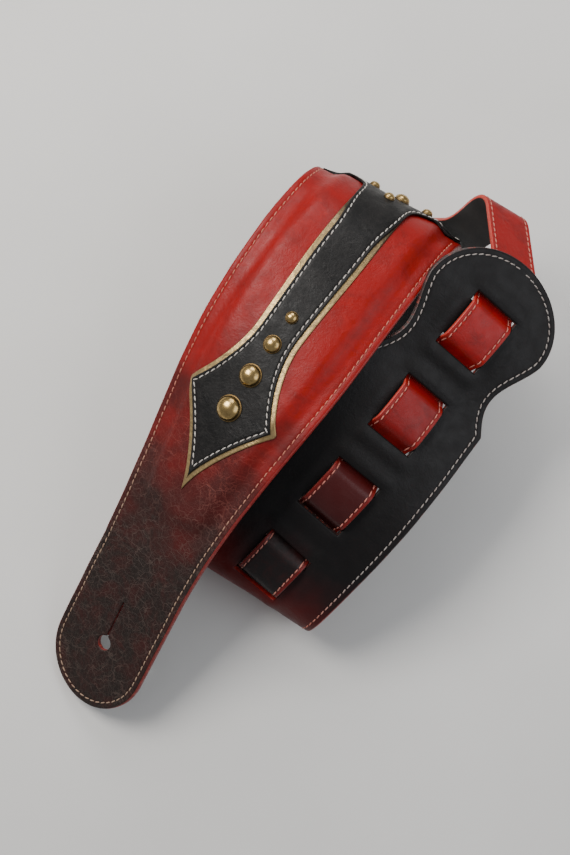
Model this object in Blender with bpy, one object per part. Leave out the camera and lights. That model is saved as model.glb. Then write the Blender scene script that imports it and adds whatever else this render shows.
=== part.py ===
"""Padded leather guitar strap, coiled the way it is shown and stored.

The strap is cut flat and then rolled up. Every leather layer is therefore built as a flat
pattern (across, along, height above the strap's middle plane) and carried into the coil by
one chain of bends, each a part of a cylinder whose axis may lie askew across the strap.
"""
import math

import bmesh
import bpy
import numpy as np
from mathutils import Matrix, Vector, geometry

MM = 0.001

# Main strap: distances along it are measured from the tip of the front tab.
TAB_HALF_WIDTH = 34.5 * MM
TAB_ROUNDING = 35 * MM
TAPER_START = 95 * MM
SHOULDER_START = 270 * MM
SHOULDER_END = 430 * MM
SHOULDER_HALF_WIDTH = 49 * MM
BACK_START = 600 * MM
BACK_HALF_WIDTH = 45.5 * MM
FLEX_LINE = 104 * MM
FLEX_GAP = 1.5 * MM

# Layers, as heights above the middle plane.
GAP = 0.3 * MM
FACE_BOTTOM = 0.1 * MM
FACE_TOP = 1.9 * MM
LINING_TOP = -0.45 * MM
LINING_BOTTOM = -1.8 * MM

# Foam padding under the face leather.
PAD_START = 132 * MM
PAD_END = 610 * MM
PAD_HEIGHT = 4 * MM
PAD_MARGIN = 10 * MM
PAD_SHOULDER = 9 * MM
PAD_END_SLOPE = 13 * MM
FOAM_INSET = 15 * MM

# Keyhole for the strap button.
BUTTON_HOLE_RADIUS = 4.75 * MM
BUTTON_HOLE_FROM_TIP = 43 * MM
BUTTON_SLIT_LENGTH = 26 * MM
BUTTON_SLIT_HALF_WIDTH = 0.5 * MM

# Slots that the tail is woven through: one pair of slots to each window.
WINDOW_PITCH = 62 * MM
FIRST_WINDOW = 712.2 * MM
WINDOW_COUNT = 4
WINDOW_HALF_LENGTH = 15.5 * MM
SLOT_HALF_LENGTH = 5 * MM
SLOT_PLAY = 1.2 * MM
WEAVE_HALF_LENGTH = 4.4 * MM
TAIL_WAVE = 4.1 * MM
LAST_WINDOW = FIRST_WINDOW + (WINDOW_COUNT - 1) * WINDOW_PITCH

# Rounded lobe at the end of the main strap.
NECK_START = LAST_WINDOW - 45 * MM
NECK_DEPTH = 10 * MM
NECK_LEAN = 0.62
NECK_SQUARENESS = 0.95
LOBE_CENTRE = LAST_WINDOW + 10 * MM
LOBE_END = LAST_WINDOW + 48 * MM

# Adjustable tail, measured on the same run as the main strap.
TAIL_HALF_WIDTH = 15 * MM
TAIL_START = FIRST_WINDOW - 22.5 * MM
TAIL_THICKNESS = 2.6 * MM
TAIL_LINING_THICKNESS = 1.1 * MM
TAIL_FLEX_LINE = LAST_WINDOW + 150 * MM
TAIL_END = LAST_WINDOW + 195 * MM
TAIL_HOLE_FROM_END = 17 * MM
TAIL_SLIT_LENGTH = 18 * MM

# Decorative spade and band, with the shoulder patch that it grows into.
SPADE_POINT = 156 * MM
SPADE_CORNER = 215 * MM
SPADE_HALF_WIDTH = 33 * MM
WAIST = 264 * MM
WAIST_HALF_WIDTH = 14.5 * MM
SPADE_HOLLOW = 1.45
WAIST_HOLLOW = 1.9
FLARE_SHARPNESS = 9
BAND_END = 330 * MM
BAND_HALF_WIDTH = 16 * MM
PATCH_START = 389 * MM
PATCH_END = 560 * MM
PATCH_MARGIN = 1.5 * MM
TRIM_WIDTH = 3.2 * MM
APPLIQUE_START = SPADE_POINT + 2.2 * TRIM_WIDTH
UNDERLAY_END = 362 * MM
SPADE_ROWS = (SPADE_POINT + 6 * MM, SPADE_CORNER - 8 * MM, SPADE_CORNER, SPADE_CORNER + 6 * MM)
UNDERLAY_THICKNESS = 0.6 * MM
APPLIQUE_THICKNESS = 1.0 * MM
APPLIQUE_GAP = 2.0 * GAP
FOAM_CLEARANCE = 3.0 * GAP

# Studs: distance along the strap, distance across it, diameter.
SPADE_STUDS = ((214, 1, 16), (236, 1, 14), (257, 1, 11), (275, 1, 7.5))
SHOULDER_STUDS = ((387, 5, 10), (387, -14, 7), (373, 0, 7), (389, 22, 7), (402, 5, 7))
STUD_FLANGE = 0.6 * MM
STUD_RISE = 0.34

# Stitching laid in a groove near each edge.
STITCH_INSET = 4 * MM
APPLIQUE_STITCH_INSET = 2 * MM
STITCH_WIDTH = 0.9 * MM
STITCH_HEIGHT = 0.5 * MM
STITCH_GAP = 0.45 * MM
STITCH_BREAK = 8 * MM

# The coil: where each bend starts, its length, its turn and the skew of its axis.
# The sweep has a start, a length and a turn within the plane of the tail.
STRAP_BENDS = (
    (60, 110, -5.8, -14.1),
    (170, 150, -34.3, 36.8),
    (301, 195, -173, -7.2),
    (636, 71.7, -150.6, -10.3),
    (728, 120, -36.3, 27.9),
    (842, 100, 2.2, 7),
    (850, 24, 12, 0),
    (884, 40, -9, 0),
)
TAIL_SWEEP = (922, 25, -23.5)
TAIL_BENDS = (
    (936.1, 12, -43, 12.5),
    (983.3, 30.6, -113.6, 12.1),
    (1019.3, 15.3, 60, 1.1),
)
FRONT_PITCH = 27.4
FRONT_ROLL = -20.5
COIL_CENTRE = (190.52 * MM, -53.709 * MM, -6.942 * MM)

# Spacing of the rows of facets: close in the two folds, wide elsewhere.
OPEN_STEP = 18 * MM
FOLD_STEP = 6 * MM
FOLDS = ((306 * MM, 492 * MM), (630 * MM, 720 * MM), (930 * MM, 1038 * MM))
ROW_CLEARANCE = 1.5 * MM
BEND_STEPS = 120
MERGE_DISTANCE = 1e-7


def clear_scene():
    """Remove whatever the file holds."""
    for item in list(bpy.data.objects):
        bpy.data.objects.remove(item, do_unlink=True)


def smooth(value):
    """Smoothstep of a value held between 0 and 1."""
    value = np.clip(value, 0.0, 1.0)
    return value * value * (3.0 - 2.0 * value)


def blend_over(position, start, end, first, last):
    """Pass smoothly from one value to another along the strap."""
    return first + (last - first) * smooth((position - start) / (end - start))


def bend(points, flat, start, length, turn, skew):
    """Roll what lies beyond a line across the strap around a short part of a cylinder."""
    across = np.array((math.cos(skew), -math.sin(skew), 0.0))
    onward = np.array((math.sin(skew), math.cos(skew), 0.0))
    base = start * math.cos(skew)
    steps = np.linspace(0.0, 1.0, BEND_STEPS + 1)
    angles = turn * steps * steps * (3.0 - 2.0 * steps)
    half_step = 0.5 * length / BEND_STEPS
    advance = np.concatenate(([0.0], np.cumsum(np.cos(angles[1:]) + np.cos(angles[:-1])) * half_step))
    climb = np.concatenate(([0.0], np.cumsum(np.sin(angles[1:]) + np.sin(angles[:-1])) * half_step))
    travelled = flat @ onward - base
    fraction = np.clip(travelled / length, 0.0, 1.0)
    angle = turn * fraction * fraction * (3.0 - 2.0 * fraction)
    before = np.minimum(travelled, 0.0)
    beyond = np.maximum(travelled - length, 0.0)
    moved = (points - flat) @ onward
    height = points[:, 2]
    run = base + before + np.interp(fraction, steps, advance) + beyond * math.cos(turn)
    run = run + moved * np.cos(angle) - height * np.sin(angle)
    rise = np.interp(fraction, steps, climb) + beyond * math.sin(turn)
    rise = rise + moved * np.sin(angle) + height * np.cos(angle)
    sideways = points @ across
    return sideways[:, None] * across + run[:, None] * onward + rise[:, None] * np.array((0.0, 0.0, 1.0))


def sweep(points, flat, start, length, turn):
    """Turn what lies beyond a line sideways, within its own plane."""
    steps = np.linspace(0.0, 1.0, BEND_STEPS + 1)
    angles = turn * steps * steps * (3.0 - 2.0 * steps)
    half_step = 0.5 * length / BEND_STEPS
    advance = np.concatenate(([0.0], np.cumsum(np.cos(angles[1:]) + np.cos(angles[:-1])) * half_step))
    drift = np.concatenate(([0.0], np.cumsum(np.sin(angles[1:]) + np.sin(angles[:-1])) * half_step))
    along = flat[:, 1]
    fraction = np.clip((along - start) / length, 0.0, 1.0)
    angle = turn * fraction * fraction * (3.0 - 2.0 * fraction)
    before = np.minimum(along - start, 0.0)
    beyond = np.maximum(along - start - length, 0.0)
    sideways = np.interp(fraction, steps, drift) + beyond * math.sin(turn)
    onward = start + before + np.interp(fraction, steps, advance) + beyond * math.cos(turn)
    moved = points[:, 1] - along
    sideways = sideways + points[:, 0] * np.cos(angle) + moved * np.sin(angle)
    onward = onward - points[:, 0] * np.sin(angle) + moved * np.cos(angle)
    return np.stack((sideways, onward, points[:, 2]), axis=1)


def place(points, with_tail=False):
    """Carry flat points (across, along, height) into the coiled strap."""
    flat = np.asarray(points, dtype=float).reshape(-1, 3)
    points = flat
    if with_tail:
        for start, length, turn, skew in reversed(TAIL_BENDS):
            points = bend(points, flat, start * MM, length * MM, math.radians(turn), math.radians(skew))
        start, length, turn = TAIL_SWEEP
        points = sweep(points, flat, start * MM, length * MM, math.radians(turn))
    for start, length, turn, skew in reversed(STRAP_BENDS):
        points = bend(points, flat, start * MM, length * MM, math.radians(turn), math.radians(skew))
    laid = np.stack((points[:, 1], -points[:, 0], points[:, 2]), axis=1)
    turned = Matrix.Rotation(-math.radians(FRONT_PITCH), 3, "Y") @ Matrix.Rotation(
        math.radians(FRONT_ROLL), 3, "X"
    )
    return laid @ np.array(turned).T - np.array(COIL_CENTRE)


def half_width(along):
    """Half of the main strap's width at a distance along it."""
    along = np.asarray(along, dtype=float)
    width = blend_over(along, TAPER_START, SHOULDER_START, TAB_HALF_WIDTH, SHOULDER_HALF_WIDTH)
    width = width + blend_over(along, SHOULDER_END, BACK_START, 0.0, BACK_HALF_WIDTH - SHOULDER_HALF_WIDTH)
    tip = np.clip(1.0 - along / TAB_ROUNDING, 0.0, 1.0)
    width = width * np.sqrt(1.0 - tip * tip)
    neck = np.clip((along - NECK_START) / (LOBE_CENTRE - NECK_START), 0.0, 1.0)
    width = width - NECK_DEPTH * np.sin(math.pi * neck**NECK_LEAN) ** NECK_SQUARENESS
    lobe = np.clip((along - LOBE_CENTRE) / (LOBE_END - LOBE_CENTRE), 0.0, 1.0)
    return width * np.sqrt(1.0 - lobe * lobe)


def pad_rise(across, along):
    """Height that the foam lifts the face leather by."""
    inside = smooth((half_width(along) - PAD_MARGIN - np.abs(across)) / PAD_SHOULDER)
    start = smooth((along - PAD_START) / PAD_END_SLOPE)
    end = smooth((PAD_END - along) / PAD_END_SLOPE)
    return PAD_HEIGHT * inside * start * end


def weave(along):
    """Plus one where the tail runs over the strap, minus one where it runs under."""
    along = np.asarray(along, dtype=float)
    side = np.full(along.shape, -1.0)
    for index in range(WINDOW_COUNT):
        centre = FIRST_WINDOW + index * WINDOW_PITCH
        reach = WINDOW_HALF_LENGTH + WEAVE_HALF_LENGTH - np.abs(along - centre)
        side = side + 2.0 * smooth(reach / (2.0 * WEAVE_HALF_LENGTH))
    return side


def face_top(across, along):
    return FACE_TOP + pad_rise(across, along)


def face_bottom(across, along):
    return FACE_BOTTOM + pad_rise(across, along)


def lining_top(across, along):
    return LINING_TOP + 0.0 * across


def lining_bottom(across, along):
    return LINING_BOTTOM + 0.0 * across


def tail_top(across, along):
    return TAIL_WAVE * weave(along) + 0.5 * TAIL_THICKNESS


def tail_middle(across, along):
    return TAIL_WAVE * weave(along) - 0.5 * TAIL_THICKNESS + TAIL_LINING_THICKNESS


def tail_face_bottom(across, along):
    return tail_middle(across, along) + GAP


def tail_bottom(across, along):
    return TAIL_WAVE * weave(along) - 0.5 * TAIL_THICKNESS


def all_rows():
    """Distances along the strap that every layer has a row of facets at."""
    marks = [0.0]
    while marks[-1] < TAIL_END:
        folded = any(low <= marks[-1] < high for low, high in FOLDS)
        marks.append(marks[-1] + (FOLD_STEP if folded else OPEN_STEP))
    return marks


def rows(start, end):
    """Row distances from start to end, both included."""
    inner = [mark for mark in all_rows() if start + ROW_CLEARANCE < mark < end - ROW_CLEARANCE]
    return [start] + inner + [end]


def columns(along, plain=False):
    """Places across the strap that its layers have a column of facets at."""
    if plain:
        return [0.0]
    edge = float(half_width(along)) - PAD_MARGIN
    crown = edge - PAD_SHOULDER
    padded = PAD_START < along < PAD_END
    inner = [edge, crown] if padded else [crown]
    return sorted([-across for across in inner] + [0.0] + inner)


def weave_rows():
    """Distances where the weave turns, which every layer there has a row at."""
    marks = []
    for index in range(WINDOW_COUNT):
        centre = FIRST_WINDOW + index * WINDOW_PITCH
        for side in (-1, 1):
            slot = centre + side * WINDOW_HALF_LENGTH
            marks += [slot + shift * WEAVE_HALF_LENGTH for shift in (-1.0, -0.4, 0.4, 1.0)]
    return marks


def end_points(along, width):
    """Points of a straight end, at the columns that it covers."""
    return [(across, along) for across in columns(along) if abs(across) < width - 1 * MM]


def symmetric_outline(width_at, start, end, round_start, round_end, extra=()):
    """Closed outline of a piece with the same width on both sides of its middle line."""
    steps = 9
    stations = []
    if round_start > 0.0:
        stations += [start + round_start * (1.0 - math.cos(0.5 * math.pi * i / steps)) for i in range(steps)]
    body = rows(start + round_start, end - round_end)
    body += [mark for mark in extra if body[0] + ROW_CLEARANCE < mark < body[-1] - ROW_CLEARANCE]
    stations += sorted(body)
    if round_end > 0.0:
        stations += [end - round_end * (1.0 - math.sin(0.5 * math.pi * i / steps)) for i in range(1, steps + 1)]
    widths = [float(width_at(station)) for station in stations]
    right = [(width, station) for width, station in zip(widths, stations)]
    left = [(-width, station) for width, station in zip(widths, stations) if width > 0.01 * MM]
    far_edge = end_points(stations[-1], widths[-1])
    near_edge = end_points(stations[0], widths[0])
    return right + far_edge[::-1] + left[::-1] + near_edge


def keyhole(hole_along, slit_direction, slit_length):
    """Round button hole with a slit leading out of it."""
    opening = math.asin(BUTTON_SLIT_HALF_WIDTH / BUTTON_HOLE_RADIUS)
    count = 20
    points = []
    for index in range(count + 1):
        angle = opening + (2.0 * math.pi - 2.0 * opening) * index / count
        across = BUTTON_HOLE_RADIUS * math.sin(angle)
        along = hole_along + slit_direction * BUTTON_HOLE_RADIUS * math.cos(angle)
        points.append((across, along))
    slit_end = hole_along + slit_direction * (BUTTON_HOLE_RADIUS + slit_length)
    points.append((-BUTTON_SLIT_HALF_WIDTH, slit_end))
    points.append((BUTTON_SLIT_HALF_WIDTH, slit_end))
    return points


def slots():
    """The slots cut through the strap for the tail."""
    reach = TAIL_HALF_WIDTH + SLOT_PLAY
    cuts = []
    for index in range(WINDOW_COUNT):
        for side in (-1, 1):
            centre = FIRST_WINDOW + index * WINDOW_PITCH + side * WINDOW_HALF_LENGTH
            near = centre - SLOT_HALF_LENGTH
            far = centre + SLOT_HALF_LENGTH
            cuts.append([(-reach, near), (reach, near), (reach, far), (-reach, far)])
    return cuts


def inside_loop(across, along, loop):
    """Whether a flat point lies inside a closed loop."""
    hit = False
    for (x0, y0), (x1, y1) in zip(loop, loop[1:] + loop[:1]):
        if (y0 > along) != (y1 > along):
            crossing = x0 + (along - y0) * (x1 - x0) / (y1 - y0)
            hit = hit != (across < crossing)
    return hit


def distance_to_loop(across, along, loop):
    """Shortest distance from a flat point to a closed loop."""
    start = np.array(loop)
    span = np.roll(start, -1, axis=0) - start
    point = np.array((across, along))
    share = np.clip(((point - start) * span).sum(axis=1) / (span * span).sum(axis=1), 0.0, 1.0)
    return float(np.hypot(*(start + span * share[:, None] - point).T).min())


def flat_triangles(outline, holes, plain):
    """Triangulate a flat piece, with inner points on the shared rows and columns."""
    loops = [outline] + list(holes)
    points = []
    edges = []
    for loop in loops:
        first = len(points)
        points += [Vector(point) for point in loop]
        edges += [(first + i, first + (i + 1) % len(loop)) for i in range(len(loop))]
    for station in sorted({round(along, 6) for across, along in outline}):
        for across in columns(station, plain):
            if not inside_loop(across, station, outline):
                continue
            if any(inside_loop(across, station, hole) for hole in holes):
                continue
            if min(distance_to_loop(across, station, loop) for loop in loops) < 1.5 * MM:
                continue
            points.append(Vector((across, station)))
    corners, _, triangles = geometry.delaunay_2d_cdt(points, edges, [], 1, MERGE_DISTANCE)[:3]
    kept = []
    for triangle in triangles:
        across = sum(corners[corner].x for corner in triangle) / 3.0
        along = sum(corners[corner].y for corner in triangle) / 3.0
        if inside_loop(across, along, outline) and not any(inside_loop(across, along, hole) for hole in holes):
            kept.append(tuple(triangle))
    return [tuple(corner) for corner in corners], kept


def make_object(name, vertices, faces, material):
    """Create a mesh object with outward-facing sides."""
    mesh = bpy.data.meshes.new(name)
    mesh.from_pydata([tuple(vertex) for vertex in vertices], [], faces)
    builder = bmesh.new()
    builder.from_mesh(mesh)
    bmesh.ops.recalc_face_normals(builder, faces=builder.faces)
    if builder.calc_volume(signed=True) < 0.0:
        bmesh.ops.reverse_faces(builder, faces=builder.faces)
    builder.to_mesh(mesh)
    builder.free()
    mesh.materials.append(material)
    item = bpy.data.objects.new(name, mesh)
    bpy.context.scene.collection.objects.link(item)
    return item


def layer(name, outline, holes, bottom, top, material, with_tail=False):
    """One layer of the strap between two height functions."""
    flat, faces = flat_triangles(outline, holes, with_tail)
    across = np.array([point[0] for point in flat])
    along = np.array([point[1] for point in flat])
    upper = np.stack((across, along, np.broadcast_to(top(across, along), across.shape)), axis=1)
    lower = np.stack((across, along, np.broadcast_to(bottom(across, along), across.shape)), axis=1)
    vertices = place(np.concatenate((upper, lower)), with_tail)
    count = len(flat)
    sides = {}
    for face in faces:
        for a, b in zip(face, face[1:] + face[:1]):
            if (b, a) in sides:
                del sides[(b, a)]
            else:
                sides[(a, b)] = True
    solid = list(faces)
    solid += [tuple(index + count for index in reversed(face)) for face in faces]
    for a, b in sides:
        solid.append((b, a, a + count))
        solid.append((b, a + count, b + count))
    return make_object(name, vertices, solid, material)


def stitch_line(name, path, closed, base, material, with_tail=False):
    """A line of stitching as one low raised thread along a flat path."""
    path = np.array(path)
    ahead = np.roll(path, -1, axis=0)
    behind = np.roll(path, 1, axis=0)
    if not closed:
        ahead[-1] = path[-1]
        behind[0] = path[0]
    heading = ahead - behind
    heading = heading / np.hypot(heading[:, 0], heading[:, 1])[:, None]
    normal = np.stack((-heading[:, 1], heading[:, 0]), axis=1)
    corners = []
    for side, lift in ((-1, 0), (1, 0), (1, 1), (-1, 1)):
        spot = path + normal * side * 0.5 * STITCH_WIDTH
        height = base(spot[:, 0], spot[:, 1]) + STITCH_GAP + lift * STITCH_HEIGHT
        corners.append(np.column_stack((spot, np.broadcast_to(height, (len(spot),)))))
    count = len(path)
    vertices = place(np.concatenate(corners), with_tail)
    faces = []
    spans = count if closed else count - 1
    for index in range(spans):
        onward = (index + 1) % count
        for corner in range(4):
            other = (corner + 1) % 4
            a = corner * count + index
            b = corner * count + onward
            c = other * count + onward
            d = other * count + index
            faces.append((a, b, c))
            faces.append((a, c, d))
    if not closed:
        faces.append((0, count, 2 * count, 3 * count))
        last = count - 1
        faces.append((3 * count + last, 2 * count + last, count + last, last))
    return make_object(name, vertices, faces, material)


def edge_path(width_at, start, end, round_start, round_end, inset):
    """Path that runs inside a piece's edge, up its right side and down its left."""
    stations = []
    steps = 7
    if round_start > 0.0:
        stations += [start + round_start * (1.0 - math.cos(0.5 * math.pi * i / steps)) for i in range(steps)]
    stations += rows(start + round_start, end - round_end)
    if round_end > 0.0:
        stations += [end - round_end * (1.0 - math.sin(0.5 * math.pi * i / steps)) for i in range(1, steps + 1)]
    right = np.array([(float(width_at(station)), station) for station in stations])
    slope = np.gradient(right, axis=0)
    slope = slope / np.hypot(slope[:, 0], slope[:, 1])[:, None]
    right = right + np.stack((-slope[:, 1], slope[:, 0]), axis=1) * inset
    right = [tuple(point) for point in right if point[0] > 0.4 * inset]
    left = [(-across, along) for across, along in right[::-1]]
    return right, left


def hinge_on(items, along, height, with_tail=False):
    """Set the origin of the pieces of a moving tab on the line that the tab flexes about."""
    pivot = Vector(place([(0.0, along, height)], with_tail)[0])
    for item in items:
        item.data.transform(Matrix.Translation(-pivot))
        item.location = pivot


def surface_frame(across, along, base):
    """Position and outward direction of the strap's surface."""
    step = 1 * MM
    height = float(base(np.array(across), np.array(along)))
    spots = place(
        [
            (across, along, height),
            (across + step, along, height),
            (across, along + step, height),
        ]
    )
    spot = Vector(spots[0])
    outward = (Vector(spots[1]) - spot).cross(Vector(spots[2]) - spot).normalized()
    return spot, outward


def stud(name, across, along, diameter, base, material):
    """Domed stud with a thin flange, standing on the applique."""
    radius = 0.5 * diameter
    rise = STUD_RISE * diameter
    profile = [(0.0, 0.0), (radius, 0.0), (radius, STUD_FLANGE)]
    steps = 3
    for index in range(steps):
        angle = 0.5 * math.pi * index / steps
        profile.append((0.93 * radius * math.cos(angle), STUD_FLANGE + rise * math.sin(angle)))
    profile.append((0.0, STUD_FLANGE + rise))
    segments = 16
    vertices = []
    for reach, height in profile:
        count = 1 if reach < 1e-9 else segments
        for index in range(count):
            angle = 2.0 * math.pi * index / segments
            vertices.append((reach * math.cos(angle), reach * math.sin(angle), height))
    faces = [(0, 1 + (i + 1) % segments, 1 + i) for i in range(segments)]
    ring_count = len(profile) - 2
    for ring in range(ring_count - 1):
        lower = 1 + ring * segments
        upper = lower + segments
        for i in range(segments):
            j = (i + 1) % segments
            faces.append((lower + i, lower + j, upper + j, upper + i))
    last = 1 + (ring_count - 1) * segments
    top = last + segments
    faces += [(last + i, last + (i + 1) % segments, top) for i in range(segments)]
    item = make_object(name, vertices, faces, material)
    item.data.shade_smooth()
    item.data.set_sharp_from_angle(angle=math.radians(35))
    spot, outward = surface_frame(across, along, base)
    item.rotation_mode = "QUATERNION"
    item.rotation_quaternion = outward.to_track_quat("Z", "Y")
    item.location = spot + outward * GAP
    return item


def make_material(name, colour, roughness, metallic=0.0):
    material = bpy.data.materials.new(name)
    material.use_nodes = True
    shader = material.node_tree.nodes["Principled BSDF"]
    shader.inputs["Base Color"].default_value = (*colour, 1.0)
    shader.inputs["Roughness"].default_value = roughness
    shader.inputs["Metallic"].default_value = metallic
    return material


def spade_width(along):
    """Half width of the applique: spade point, waist, band and the flare into the patch."""
    along = np.asarray(along, dtype=float)
    point = np.clip((along - SPADE_POINT) / (SPADE_CORNER - SPADE_POINT), 0.0, 1.0)
    waist = np.clip((along - SPADE_CORNER) / (WAIST - SPADE_CORNER), 0.0, 1.0)
    width = np.where(
        along < SPADE_CORNER,
        SPADE_HALF_WIDTH * point**SPADE_HOLLOW,
        WAIST_HALF_WIDTH + (SPADE_HALF_WIDTH - WAIST_HALF_WIDTH) * (1.0 - waist) ** WAIST_HOLLOW,
    )
    width = width + blend_over(along, WAIST, BAND_END, 0.0, BAND_HALF_WIDTH - WAIST_HALF_WIDTH)
    flare = np.clip((along - BAND_END) / (PATCH_START - BAND_END), 0.0, 1.0)
    full = half_width(along) - PATCH_MARGIN
    return width + (full - width) * flare**FLARE_SHARPNESS


def applique_width(along):
    """The black leather leaves a border of the metallic underlay showing."""
    along = np.asarray(along, dtype=float)
    bare = 1.0 - smooth((along - BAND_END) / (UNDERLAY_END - BAND_END))
    return np.maximum(spade_width(along) - TRIM_WIDTH * bare, 0.0)


def tail_width(along):
    """The tail is straight, with its far end rounded."""
    along = np.asarray(along, dtype=float)
    end = np.clip((along - TAIL_END + TAIL_HALF_WIDTH) / TAIL_HALF_WIDTH, 0.0, 1.0)
    return TAIL_HALF_WIDTH * np.sqrt(1.0 - end * end)


def underlay_bottom(across, along):
    return face_top(across, along) + APPLIQUE_GAP


def underlay_top(across, along):
    return underlay_bottom(across, along) + UNDERLAY_THICKNESS


def applique_bottom(across, along):
    return underlay_top(across, along) + APPLIQUE_GAP


def applique_top(across, along):
    return applique_bottom(across, along) + APPLIQUE_THICKNESS


def foam_width(along):
    return half_width(along) - FOAM_INSET


def foam_bottom(across, along):
    return FACE_BOTTOM + 0.0 * across


def foam_top(across, along):
    return FACE_BOTTOM + pad_rise(across, along) - FOAM_CLEARANCE


def build_strap(materials):
    """Face leather, foam and lining of the main strap behind the front tab."""
    start = FLEX_LINE + 0.5 * FLEX_GAP
    rounding = LOBE_END - LOBE_CENTRE
    outline = symmetric_outline(half_width, start, LOBE_END, 0.0, rounding, extra=weave_rows())
    cuts = slots()
    layer("strap_face_leather", outline, cuts, face_bottom, face_top, materials["red"])
    layer("strap_lining_leather", outline, cuts, lining_bottom, lining_top, materials["lining"])
    foam = symmetric_outline(foam_width, PAD_START + PAD_MARGIN, PAD_END - PAD_MARGIN, 0.0, 0.0)
    layer("shoulder_foam_padding", foam, [], foam_bottom, foam_top, materials["foam"])


def build_front_tab(materials):
    """The tapered front end with its keyhole."""
    end = FLEX_LINE - 0.5 * FLEX_GAP
    outline = symmetric_outline(half_width, 0.0, end, TAB_ROUNDING, 0.0)
    hole = [keyhole(BUTTON_HOLE_FROM_TIP, 1, BUTTON_SLIT_LENGTH)]
    face = layer("front_tab_face_leather", outline, hole, face_bottom, face_top, materials["red"])
    lining = layer("front_tab_lining_leather", outline, hole, lining_bottom, lining_top, materials["lining"])
    right, left = edge_path(half_width, 0.0, end, TAB_ROUNDING, 0.0, STITCH_INSET)
    thread = stitch_line("front_tab_stitching", left + right, False, face_top, materials["thread"])
    hinge_on((face, lining, thread), FLEX_LINE, 0.0)


def build_applique(materials):
    """Metallic underlay and the black leather over it."""
    underlay = symmetric_outline(spade_width, SPADE_POINT, UNDERLAY_END, 0.0, 0.0, extra=SPADE_ROWS)
    layer("applique_metallic_underlay", underlay, [], underlay_bottom, underlay_top, materials["gold"])
    black = symmetric_outline(applique_width, APPLIQUE_START, PATCH_END, 0.0, 0.0, extra=SPADE_ROWS)
    layer("applique_black_leather", black, [], applique_bottom, applique_top, materials["black"])


def build_tail(materials):
    """The woven tail and its end tab."""
    start = TAIL_START
    end = TAIL_FLEX_LINE - 0.5 * FLEX_GAP
    outline = symmetric_outline(tail_width, start, end, 0.0, 0.0, weave_rows())
    layer("tail_face_leather", outline, [], tail_face_bottom, tail_top, materials["red"], True)
    layer("tail_lining_leather", outline, [], tail_bottom, tail_middle, materials["lining"], True)
    start = TAIL_FLEX_LINE + 0.5 * FLEX_GAP
    outline = symmetric_outline(tail_width, start, TAIL_END, 0.0, TAIL_HALF_WIDTH)
    hole = [keyhole(TAIL_END - TAIL_HOLE_FROM_END, -1, TAIL_SLIT_LENGTH)]
    face = layer("tail_tab_face_leather", outline, hole, tail_face_bottom, tail_top, materials["red"], True)
    lining = layer("tail_tab_lining_leather", outline, hole, tail_bottom, tail_middle, materials["lining"], True)
    hinge_on((face, lining), TAIL_FLEX_LINE, -TAIL_WAVE, True)


def build_stitching(materials):
    """Thread along the edges of the main strap and of the applique."""
    rounding = LOBE_END - LOBE_CENTRE
    start = FLEX_LINE + 0.5 * FLEX_GAP
    right, left = edge_path(half_width, start, LOBE_END, 0.0, rounding, STITCH_INSET)
    patch_clear = PATCH_START - STITCH_BREAK
    front_right = [point for point in right if point[1] < patch_clear]
    stitch_line("strap_stitching_front_right", front_right, False, face_top, materials["thread"])
    stitch_line("strap_stitching_front_left", [(-a, b) for a, b in front_right], False, face_top,
                materials["thread"])
    back_right = [point for point in right if point[1] > PATCH_END + STITCH_BREAK]
    back_left = [point for point in left if point[1] > PATCH_END + STITCH_BREAK]
    stitch_line("strap_stitching_back", back_right + back_left, False, face_top, materials["thread"])
    right, left = edge_path(applique_width, APPLIQUE_START, PATCH_END, 0.0, 0.0, APPLIQUE_STITCH_INSET)
    for piece, low, high in (("applique", APPLIQUE_START + STITCH_BREAK, BAND_END), ("patch", PATCH_START, PATCH_END)):
        for side, path in (("right", right), ("left", left[::-1])):
            run = [point for point in path if low < point[1] < high]
            stitch_line(f"{piece}_stitching_{side}", run, False, applique_top, materials["thread"])


def build_studs(materials):
    for number, (along, across, diameter) in enumerate(SPADE_STUDS, 1):
        stud(f"spade_stud_{number}", across * MM, along * MM, diameter * MM, applique_top, materials["brass"])
    for number, (along, across, diameter) in enumerate(SHOULDER_STUDS, 1):
        stud(f"shoulder_stud_{number}", across * MM, along * MM, diameter * MM, applique_top, materials["brass"])


def main():
    clear_scene()
    materials = {
        "red": make_material("red_leather", (0.42, 0.02, 0.012), 0.42),
        "lining": make_material("lining_leather", (0.02, 0.017, 0.015), 0.6),
        "foam": make_material("padding_foam", (0.3, 0.3, 0.28), 0.9),
        "gold": make_material("metallic_leather", (0.55, 0.45, 0.3), 0.35, 0.6),
        "black": make_material("black_leather", (0.015, 0.014, 0.014), 0.45),
        "thread": make_material("stitching_thread", (0.6, 0.5, 0.42), 0.7),
        "brass": make_material("antique_brass", (0.42, 0.31, 0.16), 0.3, 1.0),
    }
    build_strap(materials)
    build_front_tab(materials)
    build_applique(materials)
    build_tail(materials)
    build_stitching(materials)
    build_studs(materials)


main()
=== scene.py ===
"""Looks of the padded leather guitar strap: fine leather, stitching, studs, floor and light.

Every leather piece is a fine grid in the strap's flat pattern (across, along, height), carried
into the coil by the same chain of bends as the CAD solids that it stands for.
"""

import math

import bpy
import numpy as np
from mathutils import Matrix, Vector, kdtree


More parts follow.
